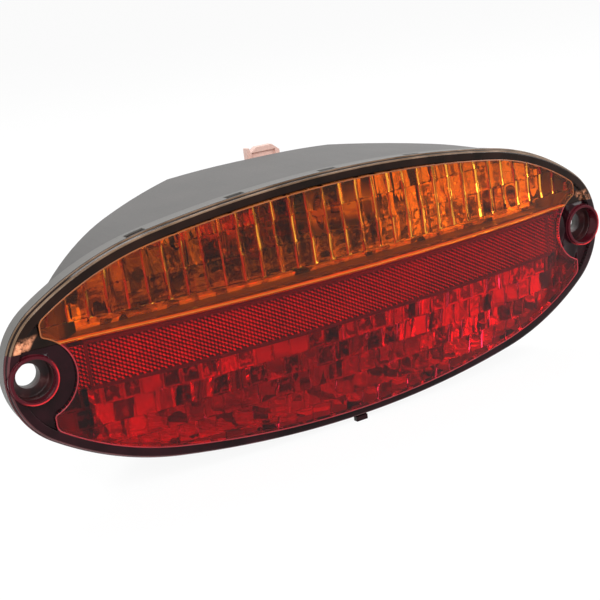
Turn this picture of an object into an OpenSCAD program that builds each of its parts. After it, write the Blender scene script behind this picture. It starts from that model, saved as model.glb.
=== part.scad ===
// Oval trailer tail light: amber indicator above, reflex strip and red stop and tail lamp below.
// X runs along the lamp, the lens faces -Y and Z is up. The origin is midway between the two
// screw holes, on the plane of the mounting pads behind the ears.

/* [Lamp] */
// Length of the lamp over both ears
lamp_l = 240; // [238:0.5:244]
// Height of the lamp
lamp_h = 88; // [86:1:92]
// Radius of the oval's long sides
side_r = 400; // [380:5:420]
// Radius of the oval's shoulders
shoulder_r = 100; // [85:5:110]
// Radius of the oval's two ends
end_r = 26; // [25:0.5:28]
// Distance from a screw hole's centre to the end of the lamp
hole_edge = 8.5; // [8:0.25:9.5]
// Diameter of a screw hole
hole_d = 8; // [5:0.5:8.5]

/* [Lens] */
// Distance from the mounting pads to the front edge of the rim, at mid length
rim_front = 16; // [15.5:0.25:17.5]
// How far the rim curves back between mid length and its ends
rim_bow = 6.2; // [5.8:0.1:6.8]
// Thickness of the rim
rim_t = 3; // [2.5:0.25:3.5]
// How far the middle of the window stands in front of the rim
dome_rise = 4.4; // [3.8:0.1:5]
// Radius of the window's face along the lamp
dome_l_r = 560; // [540:5:600]
// Radius of the window's face from top to bottom
dome_h_r = 300; // [280:5:320]
// Width of the rim round the window, above and below
rim_w = 3.8; // [3.4:0.1:4.2]
// Distance from the window's end above and below an ear to the end of the lamp
rim_end_w = 12.5; // [11.5:0.25:13.5]
// Radius of the bay that the window leaves round each ear
ear_bay_r = 13.2; // [12.5:0.1:14]
// How far the floor of that bay lies behind the rim
ear_sink = 1.4; // [1:0.1:1.6]
// Depth of the screw's pocket in the ear, behind its ring
pocket_d = 7; // [5:0.25:7.5]
// Thickness of the lens wall
lens_t = 2.4; // [2.2:0.1:2.6]
// Share of the lamp's height between its middle and the line where amber meets red
split_share = 0.105; // [0.1:0.005:0.12]

/* [Optics] */
// Width of one flute on the inside of the lens
flute_w = 6.5; // [5:0.25:8]
// Depth of a flute
flute_d = 0.9; // [0.5:0.1:1.2]
// Height of the plain band above the line where amber meets red
plain_h = 5.8; // [5:0.2:7]
// Height of one row of amber flutes
amber_row_h = 8.6; // [7:0.2:10]
// Height of one row of red flutes
red_row_h = 6.8; // [6:0.2:8]
// Height of the reflex strip
reflex_h = 13.6; // [12:0.2:14.4]
// Distance from that line down to the top of the reflex strip
reflex_drop = 2.6; // [2.6:0.1:4]
// Rows of cube corners in the reflex strip, an even number
cube_rows = 10; // [8:2:12]

/* [Housing] */
// Depth of the band behind the lens seam
band_t = 6; // [5:0.25:6.5]
// Depth of the housing behind the mounting pads
back_depth = 45; // [42:0.5:48]
// Half width of the flat back
back_half_w = 33; // [32:0.5:36]
// Radius of the sloping flanks beside the flat back
flank_r = 325; // [280:5:400]
// Wall thickness of the housing
wall_t = 2.2; // [1.8:0.1:2.6]
// Radius of the rounded edges above and below the flat back
back_edge_r = 3.5; // [3:0.25:5]

/* [Bulbs] */
// Gap between the indicator bulb's glass and the reflector above and below it
glass_gap = 1.65; // [1.4:0.05:2]
// Overall length of a bulb
bulb_l = 52.5; // [50:0.5:53]
// Distance of the stop and tail bulb's axis above the lower edge of the lamp
stop_rise = 25; // [23:0.5:27]
// Distance of the bulb axes behind the mounting pads
bulb_y = 14; // [11:0.5:16]
// Travel of a bulb against its contact spring
push_travel = 2; // [1:0.25:2]
// Turn of a bulb in its bayonet socket, in degrees
bulb_turn = 18; // [12:1:20]

/* [Connector] */
// Width of the connector shroud
conn_w = 18; // [17:0.5:20]
// Height of the connector shroud
conn_h = 11; // [10:0.5:12]
// How far the connector stands out behind the housing
conn_out = 13; // [11:0.5:15]
// Sideways place of the connector
conn_x = 10; // [6:0.5:11]
// Distance of the connector's middle below the upper edge of the lamp
conn_drop = 10; // [9.5:0.25:11]
// Height of the bridge that guards the plug's latch
bridge_h = 5.5; // [4.5:0.25:6]

/* [Fits] */
// Gap between the lens and the housing at the seam
seam_gap = 0.3; // [0.3:0.05:0.4]
// Gap round parts that slide or turn
slide_gap = 0.3; // [0.3:0.05:0.4]
// Gap between fixed parts
fit_gap = 0.15; // [0.1:0.05:0.2]

/* [Hidden] */

half_l = lamp_l / 2;
half_h = lamp_h / 2;
hole_x = half_l - hole_edge;
bow_r = half_l * half_l / (2 * rim_bow);
rim_y = -rim_front;
dome_y = rim_y - dome_rise;
dome_c = dome_y + dome_l_r;
rim_rear_y = rim_y + rim_t;
seam_y = rim_rear_y + seam_gap;
far = 2 * half_l;
win_l = half_l - rim_end_w;
win_h = half_h - rim_w;
ring_r = 7.8;
ring_in_r = 6.8;
ring_proud = 0.45;
ring_y = rim_y + rim_bow * pow(hole_x / half_l, 2) - ring_proud;
split_z = split_share * lamp_h;
edge_t = 1.3;
band_inset = 0.4;
band_wall = 3.6;
body_inset = 1;
groove_inset = 1.4;
groove_w = 1.7;
seal_h = 1.5;
seal_gap = 0.05;
skirt_inset = band_inset + band_wall + slide_gap;
skirt_t = 1.5;
skirt_d = 4.5;
tab_w = 6;
tab_t = 2.2;
tab_pitch = 0.296 * lamp_l / 2;
tab_xs = [for (i = [-2:2]) i * tab_pitch];
tab_back = 1.9;
pry_w = 4.5;
pry_out = 1.8;
reflex_top = split_z - reflex_drop;
reflex_mid = reflex_top - reflex_h / 2;
pocket_z0 = reflex_top - reflex_h - edge_t;

// ---------------------------------------------------------------- shared shapes

// The oval has two long arcs, four shoulder arcs and two end arcs, each tangent to the next
side_c = [0, half_h - side_r];
end_c = [half_l - end_r, 0];
shoulder_c =
    let (d = norm(end_c - side_c), u = (end_c - side_c) / d, a = side_r - shoulder_r,
        b = shoulder_r - end_r, t = (a * a - b * b + d * d) / (2 * d))
    side_c + t * u + sqrt(a * a - t * t) * [-u[1], u[0]];

side_a = atan2(shoulder_c[0] - side_c[0], shoulder_c[1] - side_c[1]);
end_a = atan2(end_c[0] - shoulder_c[0], end_c[1] - shoulder_c[1]);
chord_error = 0.018;

// Points of an arc about c from angle a0 towards a1, angles from the Z axis, without the last
function arc_points(c, r, inset, a0, a1) =
    let (n = ceil((a1 - a0) / (2 * acos(1 - chord_error / r))))
    [for (i = [0:n - 1])
        let (a = a0 + (a1 - a0) * i / n)
        c + (r - inset) * [sin(a), cos(a)]];

module lamp_oval(inset = 0) {
    quarter = concat(arc_points(side_c, side_r, inset, 0, side_a),
        arc_points(shoulder_c, shoulder_r, inset, side_a, end_a),
        arc_points(end_c, end_r, inset, end_a, 90), [[half_l - inset, 0]]);
    n = len(quarter);
    polygon(concat(quarter,
        [for (i = [n - 2:-1:0]) [quarter[i][0], -quarter[i][1]]],
        [for (i = [1:n - 1]) -quarter[i]],
        [for (i = [n - 2:-1:1]) [-quarter[i][0], quarter[i][1]]]));
}

// The window, with a bay round each ear
module window_outline(inset = 0) {
    difference() {
        intersection() {
            lamp_oval(rim_w + inset);
            square([2 * (win_l - inset), lamp_h], center = true);
        }
        for (s = [-1, 1])
            translate([s * hole_x, 0]) circle(r = ear_bay_r + inset, $fn = 96);
    }
}

// The open inside of the housing, clear of the ears
module chamber_outline(inset) {
    difference() {
        lamp_oval(inset);
        for (s = [-1, 1])
            translate([s * hole_x, 0]) circle(r = ear_bay_r + lens_t - 1, $fn = 96);
    }
}

// Extrudes an outline drawn in X and Z from y0 back to y1
module upright(y0, y1) {
    translate([0, y1, 0]) rotate([90, 0, 0]) linear_extrude(y1 - y0) children();
}

// Extrudes an outline drawn in Y and Z along X from x0 to x1
module sideways(x0, x1) {
    translate([x0, 0, 0]) rotate([90, 0, 90]) linear_extrude(x1 - x0) children();
}

// Everything behind a face that bows like the rim and passes through y at mid length
module behind_bow(y) {
    translate([0, y + bow_r, 0]) cylinder(r = bow_r, h = 2 * lamp_h, center = true, $fn = 720);
}

// A slab between two bowed faces
module bowed_slab(y0, y1) {
    difference() {
        intersection() {
            upright(y0 - 1, y1 + 2 * rim_bow) children();
            behind_bow(y0);
        }
        behind_bow(y1);
    }
}

module at_ears() {
    for (s = [-1, 1])
        translate([s * hole_x, 0, 0]) children();
}

// A rod along Y from y0 to y1
module rod_y(r, y0, y1, fn = 64) {
    translate([0, y1, 0]) rotate([90, 0, 0]) cylinder(r = r, h = y1 - y0, $fn = fn);
}

// A rod along X from x0 to x1
module rod_x(r, x0, x1, fn = 64) {
    translate([x0, 0, 0]) rotate([0, 90, 0]) cylinder(r = r, h = x1 - x0, $fn = fn);
}

// A box given by its two corners
module block(a, b) {
    translate(a) cube(b - a);
}

// ---------------------------------------------------------------- lens

// The face of the window: a large ring curved along and across the lamp
module dome() {
    translate([0, dome_c, 0]) rotate_extrude($fn = 1080) intersection() {
        translate([dome_l_r - dome_h_r, 0]) circle(r = dome_h_r, $fn = 720);
        translate([dome_l_r - 60, -half_h]) square([61, lamp_h]);
    }
}

// Depth of the window's face at a place on it
function dome_face(x, z) =
    let (r = dome_l_r - dome_h_r + sqrt(dome_h_r * dome_h_r - z * z))
    dome_c - sqrt(r * r - x * x);

// Share of a flute's depth at a place along its row
function flute(x, shift) =
    let (u = x / flute_w + shift, f = u - floor(u))
    4 * f * (1 - f);

// One row of the lens inside, with its front face fluted
module fluted_row(z0, z1, shift, depth = flute_d) {
    z_far = max(abs(z0), abs(z1));
    steps = ceil(win_l / flute_w) * 4;
    dx = flute_w / 4;
    front = [for (i = [-steps:steps])
        [i * dx, dome_face(i * dx, z_far) + lens_t + depth * flute(i * dx, shift)]];
    back = [[steps * dx, 10], [-steps * dx, 10]];
    translate([0, 0, z0]) linear_extrude(z1 - z0) polygon(concat(front, back));
}

// The two lens colours start from this shell
module lens_shell() {
    difference() {
        union() {
            bowed_slab(rim_y, rim_rear_y) lamp_oval();
            difference() {
                intersection() {
                    upright(dome_y - 1, 2) window_outline();
                    dome();
                }
                behind_bow(rim_rear_y);
            }
            intersection() {
                bowed_slab(rim_y + 1, rim_rear_y + skirt_d) difference() {
                    lamp_oval(skirt_inset);
                    lamp_oval(skirt_inset + skirt_t);
                }
                cube([2 * (hole_x - ear_bay_r - lens_t), 4 * half_h, 4 * half_h], center = true);
            }
            at_ears() rod_y(ring_r, ring_y, rim_rear_y + rim_bow);
        }
        bowed_slab(rim_y - 1, rim_y + ear_sink) difference() {
            lamp_oval(rim_w);
            window_outline();
            for (s = [-1, 1])
                translate([s * hole_x, 0]) circle(r = ring_r, $fn = 64);
        }
        at_ears() {
            rod_y(ring_r + 1, dome_y - 10, ring_y);
            rod_y(ring_in_r, dome_y - 10, 10);
        }
        difference() {
            at_ears() rod_y(ring_r + 1, dome_y, 10);
            upright(dome_y - 11, 20) lamp_oval();
        }
        intersection() {
            behind_bow(rim_rear_y);
            at_ears() rod_y(ring_r + 1, -20, 10);
        }
    }
}

// Snap tabs on the skirt, along the upper or lower side
module snap_tabs(side) {
    y0 = rim_rear_y + tab_back;
    for (x = tab_xs)
        intersection() {
            bowed_slab(y0, y0 + tab_t) difference() {
                lamp_oval(band_inset + 0.5);
                lamp_oval(skirt_inset + 0.5);
            }
            translate([x - tab_w / 2, -half_h, side > 0 ? 0 : -half_h])
                cube([tab_w, lamp_h, half_h]);
        }
}

module amber_lens() {
    z_low = split_z + plain_h;
    color("orange") {
        difference() {
            intersection() {
                lens_shell();
                block([-far, -far, split_z], [far, far, far]);
            }
            intersection() {
                upright(dome_y, 5) window_outline(lens_t);
                union() {
                    fluted_row(split_z + edge_t, z_low, 0, 0);
                    for (i = [0:ceil((win_h - z_low) / amber_row_h) - 1])
                        fluted_row(z_low + i * amber_row_h, z_low + (i + 1) * amber_row_h, 0);
                }
            }
        }
        snap_tabs(1);
    }
}

module red_lens() {
    z_top = pocket_z0 - edge_t;
    rows_top = pocket_z0 + edge_t;
    color("crimson") {
        difference() {
            intersection() {
                lens_shell();
                block([-far, -far, -far], [far, far, split_z]);
            }
            intersection() {
                upright(dome_y, 5) window_outline(lens_t);
                block([-far, dome_y, pocket_z0], [far, 6, split_z - edge_t]);
                translate([0, dome_c, 0])
                    cylinder(r = dome_l_r - lens_t, h = lamp_h, center = true, $fn = 1080);
            }
            intersection() {
                upright(dome_y, 5) window_outline(lens_t);
                block([-far, -far, -far], [far, far, z_top]);
                for (i = [0:ceil((win_h + rows_top) / red_row_h) - 1])
                    fluted_row(rows_top - (i + 1) * red_row_h, rows_top - i * red_row_h,
                        (i % 2) / 2);
            }
        }
        snap_tabs(-1);
        block([-pry_w / 2, rim_y + 1, -half_h - pry_out], [pry_w / 2, rim_rear_y, 1 - half_h]);
    }
}

// The seal's line runs inside the lamp's edge and round the inner side of each ear
module seal_path(inset) {
    difference() {
        intersection() {
            lamp_oval(groove_inset + inset);
            square([2 * (hole_x - inset), lamp_h], center = true);
        }
        for (s = [-1, 1])
            translate([s * hole_x, 0]) circle(r = pad_r + 0.4 + inset, $fn = 96);
    }
}

// Rubber ring between the rim and the housing
module lens_seal() {
    color("dimgray") bowed_slab(rim_rear_y + seal_gap, rim_rear_y + seal_h) difference() {
        seal_path(fit_gap);
        seal_path(groove_w - fit_gap);
    }
}

// ---------------------------------------------------------------- reflex strip

cube_a = reflex_h / (cube_rows * sqrt(3) / 2);
cube_step = cube_a / sqrt(2);
cube_cols = floor(2 * (hole_x - ear_bay_r - lens_t - 2) / cube_a) - 1;
plate_t = 1;
cube_depth = plate_t + 2 * cube_step;
reflex_gap = lens_t + 2 * fit_gap;
cover_t = 1;

// A point of the strip, with d as its depth behind the strip's smooth face
function strip_point(x, z, d) =
    let (r = dome_l_r - reflex_gap - d)
    [x, dome_c - sqrt(r * r - x * x), z];

function cube_x(i, j) = (i - cube_cols / 2 + (j % 2) / 2 - 0.25) * cube_a;
function cube_z(j) = reflex_mid - reflex_h / 2 + j * cube_a * sqrt(3) / 2;

// Cube corners stand on a lattice of triangles whose three corners have three heights
function cube_level(i, j) =
    (i == 0 || j == 0 || i == cube_cols || j == cube_rows)
        ? 0
        : (i - floor(j / 2) - j + 3 * cube_rows) % 3;

module reflex_reflector() {
    w = cube_cols + 1;
    cubes = [for (j = [0:cube_rows]) for (i = [0:cube_cols])
        strip_point(cube_x(i, j), cube_z(j), plate_t + cube_level(i, j) * cube_step)];
    smooth = [for (j = [0, cube_rows]) for (i = [0:cube_cols])
        strip_point(cube_x(i, 0), cube_z(j), 0)];
    s0 = w * (cube_rows + 1);
    s1 = s0 + w;
    last = cube_rows * w;
    cube_faces = [for (j = [0:cube_rows - 1]) for (i = [0:cube_cols - 1])
        let (p = j * w + i, q = p + w)
        each (j % 2 == 0
            ? [[p, p + 1, q], [p + 1, q + 1, q]]
            : [[p, p + 1, q + 1], [p, q + 1, q]])];
    smooth_faces = [for (i = [0:cube_cols - 1])
        each [[s0 + i, s1 + i, s0 + i + 1], [s0 + i + 1, s1 + i, s1 + i + 1]]];
    low_faces = [for (i = [0:cube_cols - 1])
        each [[s0 + i, s0 + i + 1, i], [s0 + i + 1, i + 1, i]]];
    high_faces = [for (i = [0:cube_cols - 1])
        each [[s1 + i, last + i, s1 + i + 1], [s1 + i + 1, last + i, last + i + 1]]];
    left_faces = concat([for (j = [0:cube_rows - 1]) [s0, j * w, (j + 1) * w]],
        [[s0, last, s1]]);
    right_faces = concat([for (j = [0:cube_rows - 1])
        [s0 + cube_cols, (j + 1) * w + cube_cols, j * w + cube_cols]],
        [[s0 + cube_cols, s1 + cube_cols, last + cube_cols]]);
    color("firebrick") polyhedron(points = concat(cubes, smooth),
        faces = concat(cube_faces, smooth_faces, low_faces, high_faces, left_faces, right_faces),
        convexity = 10);
}

// Cover behind the cube corners, which keeps air behind them
module reflex_backing() {
    r = dome_l_r - reflex_gap;
    half_w = cube_cols * cube_a / 2 + 0.5;
    color("gainsboro") difference() {
        intersection() {
            block([-half_w - cover_t, dome_y, reflex_mid - reflex_h / 2 - fit_gap - cover_t],
                [half_w + cover_t, 10, reflex_mid + reflex_h / 2 + fit_gap + cover_t]);
            translate([0, dome_c, 0]) cylinder(r = r, h = lamp_h, center = true, $fn = 1080);
        }
        translate([0, dome_c, 0])
            cylinder(r = r - cube_depth - 2 * fit_gap - cover_t, h = lamp_h, center = true,
                $fn = 1080);
        difference() {
            block([-half_w, dome_y, reflex_mid - reflex_h / 2 - fit_gap],
                [half_w, 10, reflex_mid + reflex_h / 2 + fit_gap]);
            translate([0, dome_c, 0])
                cylinder(r = r - cube_depth - 2 * fit_gap, h = lamp_h + 2, center = true,
                    $fn = 1080);
        }
    }
}

// ---------------------------------------------------------------- housing

pad_r = 11;
flank_x = hole_x - pad_r - 2.5;
conn_block_w = 26;
conn_block_out = 1.5;
vent_x = 24;
vent_z = 14 - half_h;
vent_r = 3;
vent_hole_r = 1.6;

// Shape of the back seen from above: a flat middle with a sloping flank at each side
module plan_outline(inset = 0) {
    a = [back_half_w, back_depth];
    b = [flank_x, 0];
    d = norm(b - a);
    n = [a[1] - b[1], b[0] - a[0]] / d;
    c = (a + b) / 2 - sqrt(flank_r * flank_r - d * d / 4) * n;
    flank = arc_points(c, flank_r, inset, atan2(a[0] - c[0], a[1] - c[1]) - 4,
        atan2(b[0] - c[0], b[1] - c[1]) + 9);
    intersection() {
        translate([-half_l, -half_h]) square([lamp_l, half_h + back_depth - inset]);
        polygon(concat(flank, [for (i = [len(flank) - 1:-1:0]) [-flank[i][0], flank[i][1]]]));
    }
}

// Shape of the body seen from its end: straight walls with a round rear edge above and below
module side_outline(z0, z1, back, r) {
    polygon(concat([[-half_h, z0], [-half_h, z1]],
        arc_points([back - r, z1 - r], r, 0, 0, 90), [[back, z1 - r]],
        arc_points([back - r, z0 + r], r, 0, 90, 180), [[back - r, z0]]));
}

// A body that follows the oval, the plan and the side shape, all set in by the given amounts
module body_block(side_inset, back_inset, z0, z1, r) {
    intersection() {
        upright(-20, back_depth + 1) chamber_outline(side_inset);
        translate([0, 0, -half_h]) linear_extrude(lamp_h) plan_outline(back_inset);
        sideways(-far, far) side_outline(z0, z1, back_depth - back_inset, r);
    }
}

module housing_outside() {
    bowed_slab(seam_y, seam_y + band_t) lamp_oval(band_inset);
    intersection() {
        upright(-20, back_depth + 1) lamp_oval(body_inset);
        translate([0, 0, -half_h]) linear_extrude(lamp_h) plan_outline();
        sideways(-far, far)
            side_outline(-half_h + body_inset, half_h - body_inset, back_depth, back_edge_r);
        behind_bow(seam_y + 1);
    }
    intersection() {
        at_ears() rod_y(pad_r, -12, 0);
        upright(-20, 1) lamp_oval(band_inset + 0.2);
        behind_bow(seam_y + 1);
    }
    block([conn_x - conn_block_w / 2, back_depth - 3, conn_z - conn_h],
        [conn_x + conn_block_w / 2, back_depth + conn_block_out, half_h - body_inset - 2]);
}

module housing() {
    inner = half_h - body_inset - wall_t;
    color("darkgray") difference() {
        housing_outside();
        body_block(body_inset + wall_t, wall_t, -inner, inner, back_edge_r - wall_t);
        bowed_slab(seam_y - 2, seam_y + band_t - wall_t)
            chamber_outline(band_inset + band_wall);
        bowed_slab(seam_y - 2, rim_rear_y + seal_h + fit_gap) difference() {
            seal_path(0);
            seal_path(groove_w);
        }
        at_ears() {
            rod_y(hole_d / 2, ring_y, 1);
            rod_y(ring_in_r, ring_y, ring_y + pocket_d);
        }
        tab_slots(1);
        tab_slots(-1);
        connector_hole();
        translate([vent_x, 0, vent_z]) rod_y(vent_hole_r + fit_gap, 0, back_depth + 5);
    }
}

// Notches in the band, open to the front, for the snap tabs
module tab_slots(side) {
    w = tab_w / 2 + slide_gap;
    for (x = tab_xs)
        translate([0, 0, side > 0 ? 0 : -2 * half_h]) intersection() {
            bowed_slab(seam_y - 1, rim_rear_y + tab_back + tab_t + slide_gap)
                square(4 * half_l, center = true);
            block([x - w, -half_h, 0], [x + w, half_h, 2 * half_h]);
        }
}

// Opaque wall between the amber and the red chamber
divider_z = split_z - 0.2;
divider_t = 1.5;
reflector_back = back_depth - wall_t - 3.4;
reflector_t = 1.2;
reflector_r = 9;

module chamber_divider() {
    color("gray") intersection() {
        body_block(body_inset + wall_t + fit_gap, back_depth - reflector_back, -half_h, half_h,
            1);
        block([-far, -far, divider_z - divider_t / 2], [far, far, divider_z + divider_t / 2]);
        behind_bow(rim_rear_y + 0.8);
    }
}

// A metallised shell that lines one chamber, between the heights z0 and z1
module reflector(z0, z1, side_gap) {
    difference() {
        intersection() {
            body_block(side_gap, back_depth - reflector_back, z0, z1, reflector_r);
            block([-far, -far, z0], [far, far, z1]);
            behind_bow(rim_rear_y + skirt_d + 1);
        }
        intersection() {
            body_block(side_gap + reflector_t, back_depth - reflector_back + reflector_t,
                z0 + reflector_t, z1 - reflector_t, reflector_r - reflector_t);
            block([-far, -far, z0 + reflector_t], [far, far, z1 - reflector_t]);
        }
    }
}

liner_gap = body_inset + wall_t + fit_gap;
upper_floor = divider_z + divider_t / 2 + fit_gap;
indicator_z = (half_h - liner_gap + upper_floor) / 2;
stop_z = stop_rise - half_h;
glass_d = half_h - liner_gap - upper_floor - 2 * (reflector_t + glass_gap);
conn_z = half_h - conn_drop;

module upper_reflector() {
    color("whitesmoke") difference() {
        reflector(upper_floor, half_h - liner_gap, liner_gap);
        bracket_slot(1, indicator_z);
    }
}

module lower_reflector() {
    color("whitesmoke") difference() {
        reflector(-half_h + liner_gap, divider_z - divider_t / 2 - fit_gap, liner_gap);
        bracket_slot(-1, stop_z);
    }
}

// ---------------------------------------------------------------- sockets and bulbs
// A bulb lies along X. Its socket is at side s, and the place of each piece is measured
// from the closed end of the socket towards the glass.

cap_r = 7.5;
cap_t = 0.4;
cap_l = 15;
pin_r = 1;
pin_out = 1;
pin_back = 7;
cup_t = 0.6;
cup_in_r = cap_r + slide_gap;
cup_r = cup_in_r + cup_t;
cup_l = 22;
cup_end_x = 24;
plunger_t = 2.4;
plunger_x = 7.2;
contact_h = 1.2;
bracket_w = 9;
bracket_t = 1;
foot_l = 10;
strip_t = 0.6;
strip_w = 3;
wall_y = back_depth - wall_t;

// Places children on a bulb's axis, with +X running from the socket's end to the glass
module on_axis(s, z) {
    translate([s * cup_end_x, bulb_y, z]) mirror([s > 0 ? 1 : 0, 0, 0]) children();
}

cap_end_x = plunger_x + plunger_t + contact_h;
pin_x = cap_end_x + pin_back;

// Slot in a reflector's back for the socket's bracket
module bracket_slot(s, z) {
    on_axis(s, z) block([-2.4, cup_r - 1, -bracket_w / 2 - 1],
        [foot_l + 1, back_depth, bracket_w / 2 + 1]);
}

// Bayonet slot for one pin: a run in from the mouth and a window to turn and push in
module pin_slot(pin_at) {
    g = slide_gap;
    arc = (cup_r + 1) * sin(bulb_turn) + pin_r + g;
    block([pin_at - pin_r - g, cup_in_r - 1, -pin_r - g], [cup_l + 1, cup_r + 2, pin_r + g]);
    block([pin_at - push_travel - pin_r - g, cup_in_r - 3, -arc],
        [pin_at + pin_r + g, cup_r + 2, pin_r + g]);
}

// Sheet metal cup with a bracket down to the back of the housing
module socket_cup(pin_ats) {
    difference() {
        union() {
            rod_x(cup_r, 0, cup_l);
            block([0, 0, -bracket_w / 2], [bracket_t, wall_y - strip_t - bulb_y, bracket_w / 2]);
            block([0, wall_y - strip_t - bracket_t - bulb_y, -bracket_w / 2],
                [foot_l, wall_y - strip_t - bulb_y, bracket_w / 2]);
        }
        rod_x(cup_in_r, bracket_t, cup_l + 1);
        rod_x(stem_r + 0.6, -1, bracket_t + 1);
        for (i = [0, 1])
            rotate([180 * i, 0, 0]) pin_slot(pin_ats[i]);
        translate([cup_end_x - foot_x, 0, 0]) rod_y(rivet_r + fit_gap, cup_r + 1, back_depth);
    }
}

stem_r = 1.6;
rivet_r = 1.1;
spring_r = 5.6;
spring_wire = 0.45;

module plunger_disc() {
    rod_x(cup_in_r - slide_gap, plunger_x, plunger_x + plunger_t);
    rod_x(stem_r, 2.2, plunger_x + 0.5);
}

// Closed rings joined by short links stand for the coils of a spring round the stem
module coil(r, wire, x0, x1, turns) {
    pitch = (x1 - x0 - 2 * wire) / turns;
    for (i = [0:turns])
        translate([x0 + wire + i * pitch, 0, 0]) rotate([0, 90, 0])
            rotate_extrude($fn = 48) translate([r, 0]) circle(r = wire, $fn = 16);
    for (i = [0:turns - 1])
        rotate([i * 180, 0, 0]) translate([x0 + wire + i * pitch, r, 0])
            rod_x(wire * 0.9, 0, pitch, 16);
}

module bulb_cap(pin_ats) {
    x0 = cap_end_x;
    difference() {
        union() {
            rod_x(cap_r, x0, x0 + cap_l);
            for (i = [0, 1])
                translate([pin_ats[i], 0, 0]) rotate([180 * i, 0, 0])
                    rod_y(pin_r, 0, cap_r + pin_out, 24);
        }
        rod_x(cap_r - cap_t, x0 - 1, x0 + cap_l + 1);
    }
}

neck_r = 6.6;
neck_x = cap_end_x + cap_l - 2;
glass_t = 0.8;

// Outline of the glass from its axis, with an inset for the inside
module glass_outline(inset) {
    r = glass_d / 2;
    top = cap_end_x - contact_h + bulb_l - r;
    intersection() {
        union() {
            translate([top, 0]) circle(r = r - inset, $fn = 96);
            translate([neck_x - inset, inset - neck_r])
                square([top - neck_x + inset, 2 * (neck_r - inset)]);
        }
        square([neck_x + bulb_l, r]);
    }
}

module bulb_glass() {
    rotate([0, 90, 0]) rotate([0, 0, 90]) rotate_extrude($fn = 96) rotate(90) mirror([0, 1])
        difference() {
            glass_outline(0);
            glass_outline(glass_t);
        }
}

filament_x = cap_end_x + 31;
filament_half = 3;
filament_gap = 3;

// A coiled filament between two support wires that come up from the cap
module filament_on_wires(offset_y, x) {
    for (s = [-1, 1])
        translate([0, offset_y, s * filament_half]) rod_x(0.3, cap_end_x + 2, x + 0.3, 16);
    translate([x, offset_y, -filament_half]) cylinder(r = 0.5, h = 2 * filament_half, $fn = 20);
}

// Glass bridge that holds the support wires
module wire_bead() {
    w = filament_half + 0.8;
    block([filament_x - 11, -filament_gap - 1, -w], [filament_x - 9, filament_gap + 1, w]);
}

module bulb_insulator(contact_ys) {
    difference() {
        rod_x(cap_r - cap_t, cap_end_x, cap_end_x + 2);
        for (y = contact_ys)
            translate([0, y, 0]) rod_x(1.6, cap_end_x - 1, cap_end_x + 3);
    }
}

module bulb_contacts(contact_ys) {
    for (y = contact_ys)
        translate([0, y, 0]) rod_x(1.6, cap_end_x - contact_h, cap_end_x + 2, 32);
}

module indicator_socket() {
    color("silver") on_axis(1, indicator_z) socket_cup([pin_x, pin_x]);
}

module indicator_plunger() {
    color("burlywood") on_axis(1, indicator_z) plunger_disc();
}

module indicator_spring() {
    color("lightgray") on_axis(1, indicator_z)
        coil(spring_r, spring_wire, bracket_t + push_travel + 0.4, plunger_x, 2);
}

module indicator_bulb_cap() {
    color("khaki") on_axis(1, indicator_z) bulb_cap([pin_x, pin_x]);
}

module indicator_bulb_glass() {
    color("orange", 0.5) on_axis(1, indicator_z) bulb_glass();
}

module indicator_bulb_filament() {
    color("dimgray") on_axis(1, indicator_z) {
        filament_on_wires(0, filament_x);
        wire_bead();
    }
}

module indicator_bulb_insulator() {
    color("black") on_axis(1, indicator_z) bulb_insulator([0]);
}

module indicator_bulb_contact() {
    color("silver") on_axis(1, indicator_z) bulb_contacts([0]);
}

// The stop and tail bulb has two filaments, two contacts and pins set 3 mm apart along the cap
pin_offset = 3;
contact_pair = [-3, 3];

module stop_socket() {
    color("silver") on_axis(-1, stop_z) socket_cup([pin_x, pin_x + pin_offset]);
}

module stop_plunger() {
    color("burlywood") on_axis(-1, stop_z) plunger_disc();
}

module stop_springs() {
    color("lightgray") on_axis(-1, stop_z)
        coil(spring_r, spring_wire, bracket_t + push_travel + 0.4, plunger_x, 2);
}

module stop_bulb_cap() {
    color("khaki") on_axis(-1, stop_z) bulb_cap([pin_x, pin_x + pin_offset]);
}

module stop_bulb_glass() {
    color("lightcyan", 0.5) on_axis(-1, stop_z) bulb_glass();
}

module stop_bulb_filaments() {
    color("dimgray") on_axis(-1, stop_z) {
        filament_on_wires(-filament_gap, filament_x);
        filament_on_wires(filament_gap, filament_x + filament_gap);
        wire_bead();
    }
}

module stop_bulb_insulator() {
    color("black") on_axis(-1, stop_z) bulb_insulator(contact_pair);
}

module stop_bulb_contacts() {
    color("silver") on_axis(-1, stop_z) bulb_contacts(contact_pair);
}

// ---------------------------------------------------------------- wiring and connector

pin_pitch = 3.6;
blade_w = 1.8;
blade_t = 0.8;
blade_out = 9;
foot_x = cup_end_x - 6.5;
arm_x = cup_end_x + 2.3;
arm_gap = 3.5;
shroud_t = 1.2;
flange_t = 1.2;
bridge_w = 14;
bridge_t = 2;
bridge_l = 3;

function blade_x(i) = conn_x + (i - 1.5) * pin_pitch;

// A run of strip metal on the housing's back wall between two corners
module run(x0, z0, x1, z1) {
    w = strip_w / 2;
    block([min(x0, x1) - w, wall_y - strip_t, min(z0, z1) - w],
        [max(x0, x1) + w, wall_y, max(z0, z1) + w]);
}

// A blade that stands out through the connector
module blade(i) {
    x = blade_x(i);
    block([x - blade_w / 2, wall_y - strip_t, conn_z - blade_t / 2],
        [x + blade_w / 2, back_depth + blade_out, conn_z + blade_t / 2]);
    block([x - blade_w / 2, wall_y - strip_t, conn_z - 3],
        [x + blade_w / 2, wall_y, conn_z + 3]);
}

module earth_strip() {
    color("peru") difference() {
        union() {
            blade(2);
            run(blade_x(2), conn_z - 4.5, blade_x(2), -8);
            run(blade_x(2), 14, foot_x, 14);
            run(foot_x, 14, foot_x, indicator_z);
            run(blade_x(2), -8, -foot_x, -8);
            run(-foot_x, -8, -foot_x, stop_z);
        }
        rivet_holes();
    }
}

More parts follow.
